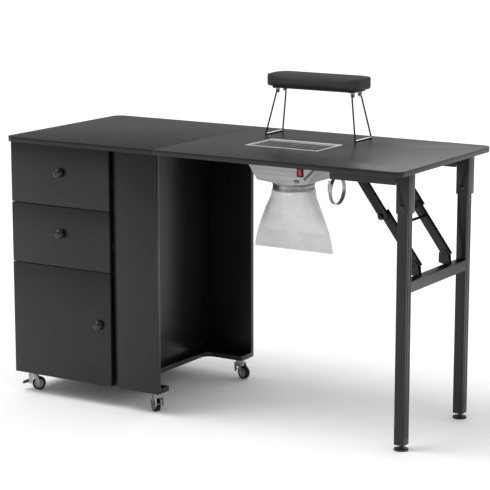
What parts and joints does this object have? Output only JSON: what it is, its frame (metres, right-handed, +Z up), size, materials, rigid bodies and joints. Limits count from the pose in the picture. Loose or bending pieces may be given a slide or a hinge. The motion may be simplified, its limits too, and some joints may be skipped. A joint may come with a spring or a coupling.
{
  "type": "folding manicure table",
  "caption": "Folding manicure table: drawer cabinet on casters, hinged leaf with built-in dust fan and bag, folding braced legs and a removable wrist rest.",
  "frame": {"origin": "on the floor, under the middle of the table top", "axes": "+X from the cabinet towards the leg frame, +Y from the technician's side (drawers) to the far side, +Z up"},
  "size_m": [1.31, 0.576, 0.9625],
  "materials": {
    "board": "black melamine, fine matt texture",
    "box_board": "dark foil",
    "back_board": "black hardboard",
    "zinc": "zinc plated",
    "knob_black": "satin black",
    "tyre_black": "matt",
    "plastic_black": "fine texture",
    "steel_black": "satin powder coat",
    "housing_grey": "fine texture",
    "motor_steel": "satin",
    "grille_metal": "satin",
    "switch_red": "gloss",
    "bag_fabric": "non-woven cloth",
    "cushion_leather": "soft grained PU leather",
    "chrome_wire": "polished"
  },
  "bodies": {
    "root": {"cabinet_top": "board", "left_side": "board", "partition": "board", "back_panel": "back_board", "rear_panel": "board", "fascia": "board", "bottom_board": "board", "shelf": "board", "hinge_rail": "board", "drawer_runners": "zinc", "seam_hinge_fixed": "zinc", "door_hinge_arms": "zinc", "caster_plates": "zinc"},
    "upper_drawer": {"upper_drawer_front": "board", "upper_drawer_box": "box_board", "upper_drawer_knob": "knob_black", "upper_drawer_slides": "zinc"},
    "lower_drawer": {"lower_drawer_front": "board", "lower_drawer_box": "box_board", "lower_drawer_knob": "knob_black", "lower_drawer_slides": "zinc"},
    "door": {"door_panel": "board", "door_knob": "knob_black", "door_hinge_cups": "zinc"},
    "leaf": {"leaf_board": "board", "seam_hinge_moving": "zinc", "side_rails": "steel_black", "leg_brackets": "steel_black", "brace_anchors": "steel_black", "fan_housing": "housing_grey", "fan_motor": "motor_steel", "grille_frame": "grille_metal", "grille_slats": "grille_metal", "switch_bezel": "plastic_black", "power_inlet": "plastic_black", "bag_clamp": "zinc", "dust_bag": "bag_fabric", "spare_clamp": "zinc"},
    "fan_rotor": {"impeller": "housing_grey"},
    "switch": {"switch_rocker": "switch_red"},
    "legs": {"leg_frame": "steel_black"},
    "foot_f": {"foot_front": "plastic_black"},
    "foot_r": {"foot_rear": "plastic_black"},
    "brace_upper": {"upper_braces": "steel_black"},
    "brace_lower": {"lower_braces": "steel_black"},
    "wrist_rest": {"rest_base": "back_board", "rest_clips": "zinc", "rest_cushion": "cushion_leather"},
    "wire_left": {"rest_wire_left": "chrome_wire"},
    "wire_right": {"rest_wire_right": "chrome_wire"},
    "fork_fl": {"caster_fork_fl": "zinc"},
    "wheel_fl": {"caster_wheel_fl": "tyre_black"},
    "pedal_fl": {"brake_pedal_fl": "plastic_black"},
    "fork_fr": {"caster_fork_fr": "zinc"},
    "wheel_fr": {"caster_wheel_fr": "tyre_black"},
    "fork_rl": {"caster_fork_rl": "zinc"},
    "wheel_rl": {"caster_wheel_rl": "tyre_black"},
    "pedal_rl": {"brake_pedal_rl": "plastic_black"},
    "fork_rr": {"caster_fork_rr": "zinc"},
    "wheel_rr": {"caster_wheel_rr": "tyre_black"}
  },
  "joints": [
    {"name": "upper_drawer_slide", "type": "slide", "parent": "root", "child": "upper_drawer", "axis": [0, -1, 0], "range_m": [0, 0.32]},
    {"name": "lower_drawer_slide", "type": "slide", "parent": "root", "child": "lower_drawer", "axis": [0, -1, 0], "range_m": [0, 0.32]},
    {"name": "door_hinge", "type": "hinge", "parent": "root", "child": "door", "pos_m": [-0.647, -0.2533, 0.232], "axis": [0, 0, -1], "range_deg": [0, 105]},
    {"name": "caster_swivel_fl", "type": "hinge", "parent": "root", "child": "fork_fl", "pos_m": [-0.611, -0.228, 0.055], "axis": [0, 0, 1], "continuous": true},
    {"name": "wheel_spin_fl", "type": "hinge", "parent": "fork_fl", "child": "wheel_fl", "pos_m": [-0.59743, -0.21952, 0.02], "axis": [-0.5299, 0.848, 0], "continuous": true},
    {"name": "brake_pedal_fl_press", "type": "hinge", "parent": "fork_fl", "child": "pedal_fl", "pos_m": [-0.61863, -0.23277, 0.027], "axis": [0.5299, -0.848, 0], "range_deg": [0, 12]},
    {"name": "caster_swivel_fr", "type": "hinge", "parent": "root", "child": "fork_fr", "pos_m": [-0.148, -0.237, 0.055], "axis": [0, 0, 1], "continuous": true},
    {"name": "wheel_spin_fr", "type": "hinge", "parent": "fork_fr", "child": "wheel_fr", "pos_m": [-0.16157, -0.22852, 0.02], "axis": [-0.5299, -0.848, 0], "continuous": true},
    {"name": "caster_swivel_rl", "type": "hinge", "parent": "root", "child": "fork_rl", "pos_m": [-0.609, 0.218, 0.055], "axis": [0, 0, 1], "continuous": true},
    {"name": "wheel_spin_rl", "type": "hinge", "parent": "fork_rl", "child": "wheel_rl", "pos_m": [-0.59396, 0.22347, 0.02], "axis": [-0.342, 0.9397, 0], "continuous": true},
    {"name": "brake_pedal_rl_press", "type": "hinge", "parent": "fork_rl", "child": "pedal_rl", "pos_m": [-0.61746, 0.21492, 0.027], "axis": [0.342, -0.9397, 0], "range_deg": [0, 12]},
    {"name": "caster_swivel_rr", "type": "hinge", "parent": "root", "child": "fork_rr", "pos_m": [-0.15, 0.218, 0.055], "axis": [0, 0, 1], "continuous": true},
    {"name": "wheel_spin_rr", "type": "hinge", "parent": "fork_rr", "child": "wheel_rr", "pos_m": [-0.13455, 0.21386, 0.02], "axis": [0.2588, 0.9659, 0], "continuous": true},
    {"name": "leaf_fold", "type": "hinge", "parent": "root", "child": "leaf", "pos_m": [-0.122, -0.004, 0.7608], "axis": [0, 1, 0], "range_deg": [0, 40]},
    {"name": "leg_fold", "type": "hinge", "parent": "leaf", "child": "legs", "pos_m": [0.622, -0.004, 0.71], "axis": [0, 1, 0], "range_deg": [0, 80]},
    {"name": "foot_front_adjust", "type": "slide", "parent": "legs", "child": "foot_f", "axis": [0, 0, 1], "range_m": [0, 0.008]},
    {"name": "foot_rear_adjust", "type": "slide", "parent": "legs", "child": "foot_r", "axis": [0, 0, 1], "range_m": [0, 0.008]},
    {"name": "upper_brace_fold", "type": "hinge", "parent": "leaf", "child": "brace_upper", "pos_m": [0.4251, -0.004, 0.7403], "axis": [0, 1, 0], "range_deg": [-42, 0]},
    {"name": "lower_brace_fold", "type": "hinge", "parent": "legs", "child": "brace_lower", "pos_m": [0.606, -0.004, 0.495], "axis": [0, 1, 0], "range_deg": [0, 40]},
    {"name": "fan_spin", "type": "hinge", "parent": "leaf", "child": "fan_rotor", "pos_m": [0.167, 0.001, 0.7245], "axis": [0, 0, 1], "continuous": true},
    {"name": "switch_rock", "type": "hinge", "parent": "leaf", "child": "switch", "pos_m": [0.2385, -0.0835, 0.719], "axis": [1, 0, 0], "range_deg": [-12, 0]},
    {"name": "wrist_rest_lift", "type": "slide", "parent": "leaf", "child": "wrist_rest", "axis": [0, 0, 1], "range_m": [0, 0.15]},
    {"name": "wire_left_fold", "type": "hinge", "parent": "wrist_rest", "child": "wire_left", "pos_m": [0.01, 0.1945, 0.911], "axis": [0, 1, 0], "range_deg": [0, 70]},
    {"name": "wire_right_fold", "type": "hinge", "parent": "wrist_rest", "child": "wire_right", "pos_m": [0.262, 0.1945, 0.911], "axis": [0, -1, 0], "range_deg": [0, 70]}
  ],
  "couplings": [
    {"joint": "upper_brace_fold", "follows": "leg_fold", "ratio": -0.5155},
    {"joint": "lower_brace_fold", "follows": "leg_fold", "ratio": 0.486}
  ]
}
